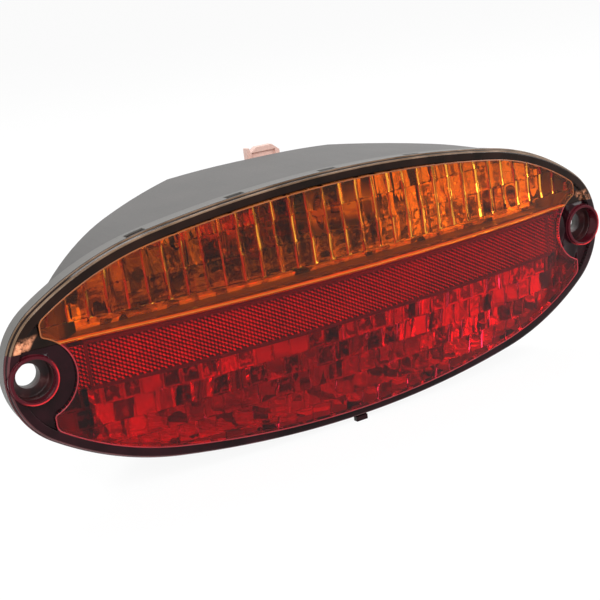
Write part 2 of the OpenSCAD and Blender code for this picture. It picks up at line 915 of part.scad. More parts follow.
module rivet_holes() {
    translate([foot_x, 0, indicator_z]) rod_y(rivet_r, 0, back_depth, 32);
    translate([-foot_x, 0, stop_z]) rod_y(rivet_r, 0, back_depth, 32);
}

module strip_rivets() {
    color("goldenrod") for (p = [[foot_x, indicator_z], [-foot_x, stop_z]])
        translate([p[0], 0, p[1]]) {
            rod_y(rivet_r, wall_y - strip_t - bracket_t - 0.2, wall_y, 32);
            rod_y(rivet_r + 0.9, wall_y - strip_t - bracket_t - 0.8, wall_y - strip_t - bracket_t,
                32);
        }
}

// An arm from the back wall forward to the stem of a plunger, at side s
module contact_arm(s, z, z_off) {
    on_axis(s, z) {
        block([-1.6, -stem_r, z_off - 1.2], [-1, wall_y - bulb_y, z_off + 1.2]);
    }
}

module indicator_strip() {
    color("peru") {
        blade(3);
        run(blade_x(3), conn_z + 3, arm_x, conn_z + 3);
        run(arm_x, conn_z + 3, arm_x, indicator_z);
        contact_arm(1, indicator_z, 0);
    }
}

module tail_strip() {
    color("peru") {
        blade(1);
        run(blade_x(1), conn_z - 4.5, blade_x(1), -2);
        run(blade_x(1), -2, -arm_x, -2);
        run(-arm_x, -2, -arm_x, stop_z + 1.2);
        contact_arm(-1, stop_z, 2);
    }
}

module stop_strip() {
    color("peru") {
        blade(0);
        run(blade_x(0), conn_z - 4.5, blade_x(0), 4);
        run(blade_x(0), 4, -arm_x - arm_gap, 4);
        run(-arm_x - arm_gap, 4, -arm_x - arm_gap, stop_z - arm_gap);
        run(-arm_x - arm_gap, stop_z - arm_gap, -arm_x, stop_z - arm_gap);
        contact_arm(-1, stop_z, -2);
    }
}

// Opening in the back wall for the connector's inner part
module connector_hole() {
    block([conn_x - conn_w / 2 + 1, back_depth - 8, conn_z - conn_h / 2 + 1],
        [conn_x + conn_w / 2 - 1, back_depth + 5, conn_z + conn_h / 2 - 1]);
}

module connector_shroud() {
    y0 = back_depth + conn_block_out;
    color("pink") difference() {
        union() {
            block([conn_x - conn_w / 2, y0, conn_z - conn_h / 2],
                [conn_x + conn_w / 2, y0 + conn_out, conn_z + conn_h / 2]);
            block([conn_x - conn_w / 2 - 1.5, y0, conn_z - conn_h / 2 - 1],
                [conn_x + conn_w / 2 + 1.5, y0 + flange_t, conn_z + conn_h / 2 + 1]);
            block([conn_x - bridge_w / 2, y0 + 5, conn_z + conn_h / 2 - 1],
                [conn_x + bridge_w / 2, y0 + 5 + bridge_l, conn_z + conn_h / 2 + bridge_h]);
            block([conn_x - conn_w / 2 + 1 + fit_gap, wall_y, conn_z - conn_h / 2 + 1 + fit_gap],
                [conn_x + conn_w / 2 - 1 - fit_gap, y0 + 1, conn_z + conn_h / 2 - 1 - fit_gap]);
        }
        block([conn_x - conn_w / 2 + shroud_t, y0 + 2, conn_z - conn_h / 2 + shroud_t],
            [conn_x + conn_w / 2 - shroud_t, y0 + conn_out + 1, conn_z + conn_h / 2 - shroud_t]);
        block([conn_x - bridge_w / 2 + bridge_t, y0, conn_z + conn_h / 2],
            [conn_x + bridge_w / 2 - bridge_t, y0 + conn_out, conn_z + conn_h / 2 + bridge_h - 2]);
        for (i = [0:3])
            translate([blade_x(i), 0, conn_z])
                block([-blade_w / 2, 0, -blade_t / 2], [blade_w / 2, far, blade_t / 2]);
    }
}

module vent_plug() {
    color("black") translate([vent_x, 0, vent_z]) {
        rod_y(vent_r, back_depth, back_depth + 1.6);
        rod_y(vent_hole_r, back_depth - wall_t - 0.8, back_depth + 0.5);
    }
}

housing();
amber_lens();
red_lens();
lens_seal();
reflex_reflector();
reflex_backing();
upper_reflector();
lower_reflector();
chamber_divider();
indicator_socket();
indicator_plunger();
indicator_spring();
indicator_bulb_cap();
indicator_bulb_glass();
indicator_bulb_filament();
indicator_bulb_insulator();
indicator_bulb_contact();
stop_socket();
stop_plunger();
stop_springs();
stop_bulb_cap();
stop_bulb_glass();
stop_bulb_filaments();
stop_bulb_insulator();
stop_bulb_contacts();
earth_strip();
indicator_strip();
stop_strip();
tail_strip();
strip_rivets();
connector_shroud();
vent_plug();
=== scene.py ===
"""Dresses the trailer tail light: finishes for every piece, studio light and camera."""
import math
import random
from functools import partial

import bmesh
import bpy
from mathutils import Matrix, Vector


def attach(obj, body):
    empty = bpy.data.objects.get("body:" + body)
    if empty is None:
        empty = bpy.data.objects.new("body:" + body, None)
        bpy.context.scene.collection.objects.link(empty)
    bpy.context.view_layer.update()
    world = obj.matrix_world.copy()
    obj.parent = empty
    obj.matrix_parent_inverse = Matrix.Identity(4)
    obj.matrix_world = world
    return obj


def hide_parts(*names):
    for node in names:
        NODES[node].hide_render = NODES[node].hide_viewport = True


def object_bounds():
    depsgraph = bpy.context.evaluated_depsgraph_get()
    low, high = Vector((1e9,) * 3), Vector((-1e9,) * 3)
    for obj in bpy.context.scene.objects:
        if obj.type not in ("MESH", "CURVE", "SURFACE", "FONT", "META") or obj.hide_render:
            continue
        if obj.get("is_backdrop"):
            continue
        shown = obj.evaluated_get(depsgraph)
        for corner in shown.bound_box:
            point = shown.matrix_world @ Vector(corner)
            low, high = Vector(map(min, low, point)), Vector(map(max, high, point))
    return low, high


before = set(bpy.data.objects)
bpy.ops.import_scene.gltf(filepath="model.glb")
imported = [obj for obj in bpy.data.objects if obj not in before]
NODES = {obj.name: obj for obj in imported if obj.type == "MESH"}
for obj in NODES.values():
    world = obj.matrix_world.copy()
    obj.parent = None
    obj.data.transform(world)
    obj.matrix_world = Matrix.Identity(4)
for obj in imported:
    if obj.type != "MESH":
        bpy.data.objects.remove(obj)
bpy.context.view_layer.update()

MM = 0.001


# ---------------------------------------------------------------- sizes in millimetres

# The lens, as the part's source sets it
HALF_L, HALF_H = 120.0, 44.0                          # half its length and height
SIDE_R, SHOULDER_R, END_R = 400.0, 100.0, 26.0        # the arcs of its oval
RIM_Y, RIM_BOW = -16.0, 6.2                           # the rim's front, and its bow backwards
RIM_W, RIM_T = 3.8, 3.0                               # the rim's width and thickness
FACE_Y, DOME_L_R, DOME_H_R = -20.4, 560.0, 300.0      # the domed face, and its radii
WIN_L, BAY_R = 107.5, 13.2                            # the window's reach, and bays for ears
CORNER_R, TIP_R = 3.4, 1.4                            # the window's rounded corners
HOLE_X, RING_R = 111.5, 7.8                           # the screw holes, and the rings round them
WALL, FLUTE_W = 2.4, 6.5                              # the window's wall, and a flute's width
SPLIT_Z, EDGE = 9.24, 1.3                             # where the colours meet, and the wall there
AMBER_ROW0, AMBER_ROW_H, AMBER_ROWS = 15.0, 8.6, 3    # rows of flutes, from the lowest up
RED_ROW0, RED_ROW_H, RED_ROWS = -6.96, 6.8, 6         # rows of flutes, from the highest down
STRIP_TOP, STRIP_LOW = 6.64, -6.96                    # the reflex strip's edges

# The connector and the latch bridge on it, as the part's source sets them
CONN_X, CONN_H, CONN_DROP = 10.0, 11.0, 10.0
BRIDGE_W, BRIDGE_H = 14.0, 5.5
BACK_Y = 45.0

# Moulding detail that only shows up close
INSIDE = 0.02            # keeps a piece this far inside its solid
LINE_W, LINE_GAP = 0.45, 0.01    # the tinted wall seen round the window, drawn opaque and paler as a painted highlight, and what parts them
ARC_GAP = 0.2            # leaves out the oval's points too close to a rounded corner
EAR_CLEAR = 0.3          # from an ear's ring to the rim
FLUTE_ROOT = 0.3         # how much thinner the wall is between two flutes
FLUTE_POINTS = 10        # points across a flute
ROW_STEP = 0.8           # the most between points up a row of flutes
ROW_GAP = 0.04           # a row's first and last points stand this far inside it
OPTICS_REACH = 111.0     # the flutes are made this far to each side, then cut to the window
LEAN_BASE = 0.8          # keeps a leaning cell from thinning the wall
CELL_NUDGE = 1e-6        # keeps a point on the edge of two cells in one of them
CELL_SEED = 7
CORNER_ROWS = 20         # rows of cube corners in the reflex strip
CORNER_L = 210.0         # how long these rows are made
CORNER_GAP = 0.5         # from the strip's wall to the cube corners
CORNER_DEPTH = 0.7       # share of a true cube corner's depth
CORNER_CLEAR = 0.8       # from a bay to the nearest cube corner
CORNER_T = 0.5           # the thickness of the cube-corner moulding

# The rim in section, from its inner edge round its front: how far in from the oval, and depth
REAR = RIM_Y + RIM_T
RIM_PROFILE = [
    (RIM_W, RIM_Y), (1.5, RIM_Y), (1.15, RIM_Y + 0.05), (0.8, RIM_Y + 0.25), (0.6, RIM_Y + 0.6),
    (0.55, REAR - 1.15), (0.45, REAR - 1.0), (0.1, REAR - 0.95), (0.0, REAR - 0.85),
    (0.0, REAR - 0.1), (0.1, REAR), (RIM_W, REAR)]
HIGHLIGHT_SIDES = (2, 3, 6, 7)    # the sides of that section that get a painted highlight, where light catches an edge
RIM_CUTTER = [(RIM_W, RIM_Y - 2), (-INSIDE, RIM_Y - 2), (-INSIDE, REAR + 0.03),
              (RIM_W, REAR + 0.03)]

# The latch bridge from behind, from its top right or top left corner
SLOPE = [(-3.2, 0.1), (1.0, 1.0), (1.0, -3.0), (0.1, -2.6)]
NOTCH = [(1.0, 1.0), (1.2, -1.4), (2.0, -1.6), (3.4, -0.6), (4.6, 0.1), (4.6, 1.0)]
TONGUE_SIDE, TONGUE_TOP, TONGUE_LOW = 1.5, 1.8, 6.0
TONGUE_Y = (BACK_Y + 7.2, BACK_Y + 8.4)

# Cutters run right through, and past every edge of the lamp
THROUGH_LENS = (-40.0, 30.0)
THROUGH_CONNECTOR = (40.0, 70.0)
PAST_X, PAST_Z = 200.0, 60.0
WELD = 0.002             # points closer than this become one
FLAT_DEGREES = 0.2       # faces that turn less than this, in degrees, become one

# ---------------------------------------------------------------- material helpers

# The nodes that the finishes use: type, settings, inputs in order, and output, or None where
# a node has several. Any other name is an operation of the Math node.
NODE_KINDS = {
    "SMOOTH STEP": ("ShaderNodeMapRange", {"interpolation_type": "SMOOTHSTEP"},
                    ("Value", "From Min", "From Max"), "Result"),
    "MIX": ("ShaderNodeMix", {"data_type": "RGBA"}, ("Factor", 6, 7), 2),
    "RAMP": ("ShaderNodeValToRGB", {}, ("Fac",), "Color"),
    "PLACE": ("ShaderNodeTexCoord", {}, (), "Object"),
    "SPLIT": ("ShaderNodeSeparateXYZ", {}, (0,), None),
    "VECTOR": ("ShaderNodeCombineXYZ", {}, (0, 1, 2), 0),
    "GEOMETRY": ("ShaderNodeNewGeometry", {}, (), None),
    "LIGHT PATH": ("ShaderNodeLightPath", {}, (), None),
    "NOISE": ("ShaderNodeTexNoise", {}, ("Vector", "Scale", "Detail", "Roughness"), "Fac"),
    "PANELS": ("ShaderNodeTexVoronoi", {"feature": "F1"}, ("Vector", "Scale"), "Color"),
    "RANDOM": ("ShaderNodeTexWhiteNoise", {}, ("Vector",), "Value"),
    "BUMP": ("ShaderNodeBump", {}, ("Height", "Strength", "Distance", "Normal"), "Normal"),
    "BEVEL": ("ShaderNodeBevel", {"samples": 4}, ("Radius",), 0),
    "SHADER": ("ShaderNodeBsdfPrincipled", {}, (), 0),
    "TRANSPARENT": ("ShaderNodeBsdfTransparent", {}, ("Color",), 0),
    "DIFFUSE": ("ShaderNodeBsdfDiffuse", {}, ("Color",), 0),
    "EMISSION": ("ShaderNodeEmission", {}, ("Color", "Strength"), 0),
    "BACKGROUND": ("ShaderNodeBackground", {}, ("Color", "Strength"), 0),
    "MIX SHADERS": ("ShaderNodeMixShader", {}, (0, 1, 2), 0),
    "OUTPUT": ("ShaderNodeOutputMaterial", {}, ("Surface",), None),
    "WORLD OUTPUT": ("ShaderNodeOutputWorld", {}, ("Surface",), None)}


def srgb(code):
    """Turns an sRGB hex colour into the linear colour that Blender wants."""
    parts = [int(code[i:i + 2], 16) / 255 for i in (0, 2, 4)]
    return tuple(p / 12.92 if p <= 0.04045 else ((p + 0.055) / 1.055) ** 2.4
                 for p in parts) + (1.0,)


def add_node(tree, kind, *values, named=None, stops=()):
    """Adds a node, fills or links its inputs, in order or by name, and gives its output."""
    node_type, settings, order, output = NODE_KINDS.get(
        kind, ("ShaderNodeMath", {"operation": kind}, (0, 1), 0))
    node = tree.nodes.new(node_type)
    for name, value in settings.items():
        setattr(node, name, value)
    for name, value in [*zip(order, values), *(named or {}).items()]:
        if isinstance(value, bpy.types.NodeSocket):
            tree.links.new(value, node.inputs[name])
        else:
            node.inputs[name].default_value = value
    if stops:
        while len(node.color_ramp.elements) < len(stops):
            node.color_ramp.elements.new(1.0)
        for element, (place, code) in zip(node.color_ramp.elements, stops):
            element.position = place
            element.color = srgb(code)
    return node.outputs if output is None else node.outputs[output]


def new_finish(name):
    """An empty material, and the call that adds a node to it."""
    material = bpy.data.materials.new(name)
    material.use_nodes = True
    material.node_tree.nodes.clear()
    return material, partial(add_node, material.node_tree)


def part_place(add):
    """The place on the part in millimetres, as three numbers."""
    return [add("MULTIPLY", metres, 1 / MM) for metres in add("SPLIT", add("PLACE"))]


def band(add, value, low, high, soft):
    """1 between low and high, with a change at each that takes soft to either side."""
    return add("MULTIPLY", add("SMOOTH STEP", value, low - soft, low + soft),
               add("SMOOTH STEP", value, high + soft, high - soft))


def ear_distance(add, x, z):
    """Distance from the axis of the nearer screw hole."""
    dx = add("SUBTRACT", add("ABSOLUTE", x), HOLE_X)
    return add("SQRT", add("ADD", add("MULTIPLY", dx, dx), add("MULTIPLY", z, z)))


def dress(material, *names):
    """Gives CAD nodes their finish."""
    for name in names:
        data = NODES[name].data
        data.materials.clear()
        data.materials.append(material)


# ---------------------------------------------------------------- plain finishes

# A spark-eroded mould leaves a grain about 0.05 mm across. That is too fine to show, so it is
# drawn at 0.8333 mm, and a finish below may give its own.
GRAIN, GRAIN_DEPTH = 0.8333, 0.03
CLOUD = 16.67            # the slow change of colour where the plastic flowed together
MOULDED_EDGE = 0.4       # how round a moulded edge is
PLASTIC_IOR = 1.5


def moulded_plastic(name, dark, light, rough, grain=GRAIN, depth=GRAIN_DEPTH):
    """Injection-moulded plastic: faint clouding in the colour, a fine spark-eroded grain that
    breaks up the gloss, and softened edges."""
    material, add = new_finish(name)
    spot = add("VECTOR", *part_place(add))
    fine = add("NOISE", spot, 1 / grain, 3.0, 0.6)
    level = add("ADD", add("MULTIPLY", add("NOISE", spot, 1 / CLOUD, 3.0), 0.75),
                add("MULTIPLY", fine, 0.25))
    add("OUTPUT", add("SHADER", named={
        "Base Color": add("RAMP", level, stops=[(0.35, dark), (0.65, light)]),
        "Roughness": add("ADD", rough - 0.05, add("MULTIPLY", fine, 0.1)),
        "Normal": add("BUMP", fine, 0.35, depth * MM, add("BEVEL", MOULDED_EDGE * MM)),
        "IOR": PLASTIC_IOR}))
    return material


HOUSING_CLOUD, HOUSING_EDGE = 20.0, 0.6
POCKET_LIGHT_STREAK = 3.333            # the uneven painted red light and shade in a screw pocket
# Where a painted mark starts and is full: depth less the bow for the painted highlight by the
# seam, then distance from a screw's axis and depth for the painted shade in the screw pockets
SEAM_HIGHLIGHT_BAND, POCKET_R, POCKET_Y = (-5.4, -7.2), (7.4, 7.0), (-1.0, -3.0)


def housing_plastic(name):
    """Moulded grey polypropylene: clouded colour, fine grain, a painted highlight as a paler band
    beside the seam, and painted shade with painted red light and grey glint in the screw pockets."""
    material, add = new_finish(name)
    x, y, z = part_place(add)
    spot = add("VECTOR", x, y, z)
    fine = add("NOISE", spot, 1 / GRAIN, 3.0, 0.6)
    level = add("ADD", add("MULTIPLY", add("NOISE", spot, 1 / HOUSING_CLOUD, 3.0), 0.8),
                add("MULTIPLY", fine, 0.2))
    body = add("RAMP", level, stops=[(0.35, "3b3937"), (0.65, "423f3d")])
    bow = add("MULTIPLY", add("MULTIPLY", x, x), RIM_BOW / HALF_L ** 2)
    # Painted highlight: a paler band beside the seam
    painted_seam_highlight = add("SMOOTH STEP", add("SUBTRACT", y, bow), *SEAM_HIGHLIGHT_BAND)
    colour = add("MIX", painted_seam_highlight, body, srgb("565451"))
    # Painted shade in the screw pockets, with streaks of painted red light and grey glint
    pocket_painted_shade = add("MULTIPLY", add("SMOOTH STEP", ear_distance(add, x, z), *POCKET_R),
                 add("SMOOTH STEP", y, *POCKET_Y))
    red = add("RAMP", add("NOISE", spot, 1 / POCKET_LIGHT_STREAK, 2.0),
              stops=[(0.35, "1c0708"), (0.6, "3a1012"), (0.75, "5a3a38")])
    add("OUTPUT", add("SHADER", named={
        "Base Color": add("MIX", pocket_painted_shade, colour, red),
        "Roughness": add("ADD", 0.42, add("MULTIPLY", fine, 0.1)),
        "Normal": add("BUMP", fine, 0.35, GRAIN_DEPTH * MM, add("BEVEL", HOUSING_EDGE * MM)),
        "IOR": PLASTIC_IOR}))
    return material


ROLL_STREAK = 0.6667     # real rolling and drawing lines are finer: drawn so that they show
TARNISH = 6.667          # patches of slight tarnish


def sheet_metal(name, dark, light, rough, stretch=(1.0, 1.0, 1.0)):
    """Stamped or drawn metal: fine rolling streaks along one direction and slight tarnish."""
    material, add = new_finish(name)
    place = part_place(add)
    along = add("VECTOR", *[add("MULTIPLY", v, share) for v, share in zip(place, stretch)])
    streak = add("NOISE", along, 1 / ROLL_STREAK, 3.0)
    cloud = add("NOISE", add("VECTOR", *place), 1 / TARNISH, 3.0)
    add("OUTPUT", add("SHADER", named={
        "Base Color": add("RAMP", cloud, stops=[(0.3, dark), (0.7, light)]),
        "Metallic": 1.0,
        "Roughness": add("ADD", rough - 0.06, add("MULTIPLY", streak, 0.12)),
        "Normal": add("BUMP", streak, 0.2, 0.02 * MM)}))
    return material


def chamber_metal_with_painted_light(name, panel, dark, middle):
    """The metallised lining of a chamber, with painted light and shade: bright and dark panels
    drawn where its steps and facets would lean towards or away from the lens, with soft edges
    between them."""
    material, add = new_finish(name)
    x, y, z = part_place(add)
    spot = add("VECTOR", x, y, z)
    tall = add("VECTOR", add("MULTIPLY", x, 1.7), y, add("MULTIPLY", z, 0.7))
    # Painted light and shade: the panels run from dark to white
    level = add("ADD", add("MULTIPLY", add("PANELS", tall, 1 / panel), 0.6),
                add("MULTIPLY", add("NOISE", spot, 2 / panel, 2.0), 0.4))
    add("OUTPUT", add("SHADER", named={
        "Base Color": add("RAMP", level, stops=[(0.32, dark), (0.45, middle), (0.55, "ffffff")]),
        "Metallic": 0.75,
        "Roughness": add("ADD", 0.05, add("MULTIPLY", level, 0.08)),
        "Normal": add("BUMP", add("NOISE", spot, 3 / panel, 1.0), 0.5, 0.5 * MM)}))
    return material


GLASS_IOR = 1.5
GLASS_RIPPLE = 5.0       # the unevenness of a blown bulb


def bulb_glass(name, colour):
    """Thin lamp glass with the faint ripple of blown glass."""
    material, add = new_finish(name)
    ripple = add("NOISE", add("VECTOR", *part_place(add)), 1 / GLASS_RIPPLE, 2.0)
    add("OUTPUT", add("SHADER", named={
        "Base Color": srgb(colour), "Roughness": 0.02, "IOR": GLASS_IOR,
        "Transmission Weight": 1.0, "Normal": add("BUMP", ripple, 0.2, 0.05 * MM)}))
    return material


# ---------------------------------------------------------------- lens finishes

# Patterns inside the clear acrylic, in millimetres
MOTTLE = 2.222           # uneven painted shade inside a cell
FACE_RIPPLE = 12.5       # the slow waviness of a moulded face
RIB_UNEVEN = 5.0         # how a rib comes and goes along its height

# Where a mark starts and is full, as a share of a cell from its middle
CELL_ACROSS, CELL_UPRIGHT = (0.44, 0.34), (0.46, 0.36)
RIB_ACROSS = (0.43, 0.46)
ZIGZAG_UPRIGHT = (0.44, 0.47)
# Where a mark starts and is full, as levels of the mottle or of the rib's unevenness
CELL_MOTTLE, ZIGZAG_MOTTLE, RIB_FADE = (0.3, 0.5), (0.42, 0.55), (0.2, 0.6)
TOWARDS_FRONT = (0.2, 0.3)       # how far a face must look forward to carry the cells
LINE_HIGHLIGHT_BAND = (0.4, 0.8, 0.1)      # a painted highlight on the wall above the line between the colours


def clear_acrylic(name, tint, shade, highlight_colour, rib_colour, row0, row_h, shift, line_z,
                  bright_share, bright_rise, rib_strength, zigzag):
    """Tinted clear acrylic: polished, with the faint waviness of a moulded face. On its inner
    face painted shade darkens some cells of the rows, deeper ribs stand between the cells, wavy
    lines of painted shade run between the rows, and a painted highlight makes the wall at the
    colour's end shine."""
    material, add = new_finish(name)
    x, y, z = part_place(add)
    spot = add("VECTOR", x, y, z)
    along = add("DIVIDE", add("SUBTRACT", z, row0), row_h)
    row = add("FLOOR", along)
    place = add("ADD", add("DIVIDE", x, FLUTE_W), add("MULTIPLY", row, shift))
    across = add("ABSOLUTE", add("SUBTRACT", add("FRACT", place), 0.5))
    upright = add("ABSOLUTE", add("SUBTRACT", add("FRACT", along), 0.5))

    # Only the inner face of the rows has the marks, and its steep steps only the ribs
    geometry = add("GEOMETRY")
    _, facing, _ = add("SPLIT", geometry["True Normal"])
    behind = add("MULTIPLY", geometry["Backfacing"], add("SMOOTH STEP", along, 0.0, 0.02))
    inner = add("MULTIPLY", behind,
                add("SMOOTH STEP", add("ABSOLUTE", facing), *TOWARDS_FRONT))

    # Painted shade in dark cells: fewer of them in the rows further from the line between the
    # colours
    mottle = add("NOISE", spot, 1 / MOTTLE, 2.0)
    limit = add("ADD", bright_share, add("MULTIPLY", row, bright_rise))
    dice = add("RANDOM", add("VECTOR", add("FLOOR", place), row, 0.0))
    dark = add("SMOOTH STEP", add("SUBTRACT", dice, limit), 0.0, 0.1)
    inside = add("MULTIPLY", add("SMOOTH STEP", across, *CELL_ACROSS),
                 add("SMOOTH STEP", upright, *CELL_UPRIGHT))
    dark = add("MULTIPLY", add("MULTIPLY", dark, inside),
               add("SMOOTH STEP", mottle, *CELL_MOTTLE))

    # Painted shade in wavy lines between the rows
    wave = add("NOISE", add("VECTOR", x, 0.0, 0.0), 1 / MOTTLE, 2.0)
    wave = add("MULTIPLY", add("SUBTRACT", wave, 0.5), 0.5)
    zig = add("MULTIPLY", add("SMOOTH STEP", add("ADD", upright, wave), *ZIGZAG_UPRIGHT), zigzag)
    zig = add("MULTIPLY", zig, add("SMOOTH STEP", mottle, *ZIGZAG_MOTTLE))
    dark = add("MULTIPLY", add("MAXIMUM", dark, zig), inner)

    # Acrylic has an IOR of 1.49: it is set lower here, so that the chamber shows through the
    # flutes more than the room does in them
    clear = add("SHADER", named={
        "Base Color": add("MIX", dark, srgb(tint), srgb(shade)), "Roughness": 0.0, "IOR": 1.27,
        "Transmission Weight": 1.0,
        "Normal": add("BUMP", add("NOISE", spot, 1 / FACE_RIPPLE, 2.0), 0.3, 0.05 * MM)})
    lit = add("MIX SHADERS", add("LIGHT PATH")["Is Shadow Ray"], clear,
              add("TRANSPARENT", srgb(tint)))

    # Ribs between the cells, and a painted highlight on the wall at the colour's end
    rib = add("MULTIPLY", add("SMOOTH STEP", across, *RIB_ACROSS), behind)
    uneven = add("SMOOTH STEP", add("NOISE", spot, 1 / RIB_UNEVEN, 1.0), *RIB_FADE)
    rib = add("MULTIPLY", rib, add("MULTIPLY", uneven, rib_strength))
    deep = add("SHADER", named={
        "Base Color": srgb(rib_colour), "Roughness": 0.3, "Specular IOR Level": 0.2})
    line = add("SHADER", named={
        "Base Color": srgb(highlight_colour), "Roughness": 0.2, "Specular IOR Level": 0.2})
    start, stop, soft = LINE_HIGHLIGHT_BAND
    painted_highlight_at_line = add("MULTIPLY", band(add, z, line_z + start, line_z + stop, soft), 0.8)
    add("OUTPUT", add("MIX SHADERS", painted_highlight_at_line, add("MIX SHADERS", rib, lit, deep), line))
    return material


# Patterns in the rim, in millimetres
RIM_CLOUD = 10.0         # deeper and thinner places of the acrylic
RIM_GRAIN = 1.667        # the mould's grain, drawn coarser so that it shows
RIM_EDGE = 0.5           # how round its edges are
GLOW_UNEVEN = 4.0        # how the painted glow in an ear comes and goes along its ring
PATCH_SPECK = 2.0        # the broken painted reflection beside the amber ends

# Bands of the rim: from, to and softness, from an ear's axis, from the end arc's centre and up
EAR_RING = (6.0, 8.1, 0.2)
EAR_EDGES = ((6.2, 6.6, 0.15), (7.4, 8.0, 0.25))
GLOW_LOW_RIGHT = (0.0, 7.0)
PATCH_RING, PATCH_UP = (19.6, 24.4, 0.5), (9.2, 13.0, 1.2)


def rim_acrylic(name, dark, light, painted_glow_colour, patch_colour=None):
    """Tinted acrylic over the grey housing: so deep that it is near black, glossy, with a painted
    glow of the lens colour on the ear's ring and, on amber, a painted reflection as a paler patch
    near each end."""
    material, add = new_finish(name)
    x, y, z = part_place(add)
    spot = add("VECTOR", x, y, z)
    ear = ear_distance(add, x, z)
    colour = add("RAMP", add("NOISE", spot, 1 / RIM_CLOUD, 3.0),
                 stops=[(0.35, dark), (0.65, light)])
    side = add("SIGN", x)
    low_right = add("SUBTRACT", add("SUBTRACT", x, add("MULTIPLY", side, HOLE_X)), z)
    # Painted glow: the lens colour along the ear ring's edges, towards the lower right
    edges = add("MAXIMUM", *[band(add, ear, *edge) for edge in EAR_EDGES])
    uneven = add("SMOOTH STEP", add("NOISE", spot, 1 / GLOW_UNEVEN, 1.0), 0.2, 0.5)
    painted_glow = add("MULTIPLY", edges, add(
        "MULTIPLY", add("SMOOTH STEP", low_right, *GLOW_LOW_RIGHT), uneven))
    ring = add("MULTIPLY", band(add, ear, *EAR_RING), 0.5)
    colour = add("MIX", ring, colour, srgb("5a1420"))
    colour = add("MIX", painted_glow, colour, srgb(painted_glow_colour))
    if patch_colour:
        # Painted reflection: a paler, broken patch near each amber end
        out = add("SUBTRACT", add("ABSOLUTE", x), HALF_L - END_R)
        out = add("SQRT", add("ADD", add("MULTIPLY", out, out), add("MULTIPLY", z, z)))
        painted_light_patch = add("MULTIPLY", band(add, out, *PATCH_RING), band(add, z, *PATCH_UP))
        speck = add("ADD", add("NOISE", spot, 1 / PATCH_SPECK, 3.0, 0.7),
                    add("MULTIPLY", side, -0.08))
        painted_light_patch = add("MULTIPLY", painted_light_patch, add("SMOOTH STEP", speck, 0.34, 0.72))
        colour = add("MIX", painted_light_patch, colour, srgb(patch_colour))
    # The IOR is lower than acrylic's 1.49, to keep the deep colour under the softbox
    grain = add("NOISE", spot, 1 / RIM_GRAIN, 3.0)
    add("OUTPUT", add("SHADER", named={
        "Base Color": colour, "IOR": 1.22, "Normal": add("BEVEL", RIM_EDGE * MM),
        "Roughness": add("ADD", 0.05, add("MULTIPLY", grain, 0.08))}))
    return material


RETURN_PATCH = 16.67     # the size of the painted patches where the strip turns light back more or less
CORNER_UNEVEN = 1.4286   # from one cube corner to the next


def prism_plastic(name):
    """The reflex strip's cube corners, in painted light and shade: each facet is drawn bright,
    middle or dark by which way it faces, and the whole strip is painted brighter in patches where
    it turns light back."""
    material, add = new_finish(name)
    x, y, z = part_place(add)
    lean_x, _, lean_z = add("SPLIT", add("GEOMETRY")["Normal"])
    # Painted shade: a facet is lighter or darker by which way it faces
    painted_facet_shade = add("ADD", add("MULTIPLY", lean_x, 0.5), add("MULTIPLY", lean_z, 0.35))
    painted_light_patch = add("NOISE", add("VECTOR", x, 0.0, z), 1 / RETURN_PATCH, 2.0)
    own = add("NOISE", add("VECTOR", x, y, z), 1 / CORNER_UNEVEN, 1.0)
    level = add("ADD", add("ADD", painted_facet_shade, 0.05),
                add("ADD", add("MULTIPLY", painted_light_patch, 0.5), add("MULTIPLY", own, 0.4)))
    add("OUTPUT", add("SHADER", named={
        "Base Color": add("RAMP", level, stops=[
            (0.1, "2c080e"), (0.4, "620e18"), (0.62, "8e1a26"), (0.9, "c83c46")]),
        "Roughness": 0.25, "Metallic": 0.4}))
    return material


# ---------------------------------------------------------------- outlines

def arc_points(centre, radius, a0, a1, steps):
    """Points of an arc, angles from the Z axis, without its last point."""
    return [(centre[0] + radius * math.sin(a0 + (a1 - a0) * i / steps),
             centre[1] + radius * math.cos(a0 + (a1 - a0) * i / steps)) for i in range(steps)]


def mirrored(quarter):
    """A whole outline from its quarter, which runs from the Z axis to the X axis."""
    return (quarter + [(x, -z) for x, z in quarter[-2::-1]]
            + [(-x, -z) for x, z in quarter[1:]]
            + [(-x, z) for x, z in quarter[-2:0:-1]])


def oval_quarter(inset):
    """A quarter of the lamp's oval: half a long arc, a shoulder and half an end, as in the
    part's source."""
    side = (0.0, HALF_H - SIDE_R)
    end = (HALF_L - END_R, 0.0)
    dx, dz = end[0] - side[0], end[1] - side[1]
    d = math.hypot(dx, dz)
    a, b = SIDE_R - SHOULDER_R, SHOULDER_R - END_R
    t = (a * a - b * b + d * d) / (2 * d)
    h = math.sqrt(a * a - t * t)
    shoulder = (side[0] + t * dx / d - h * dz / d, side[1] + t * dz / d + h * dx / d)
    a1 = math.atan2(shoulder[0] - side[0], shoulder[1] - side[1])
    a2 = math.atan2(end[0] - shoulder[0], end[1] - shoulder[1])
    return (arc_points(side, SIDE_R - inset, 0, a1, 12)
            + arc_points(shoulder, SHOULDER_R - inset, a1, a2, 20)
            + arc_points(end, END_R - inset, a2, math.pi / 2, 20)
            + [(HALF_L - inset, 0.0)])


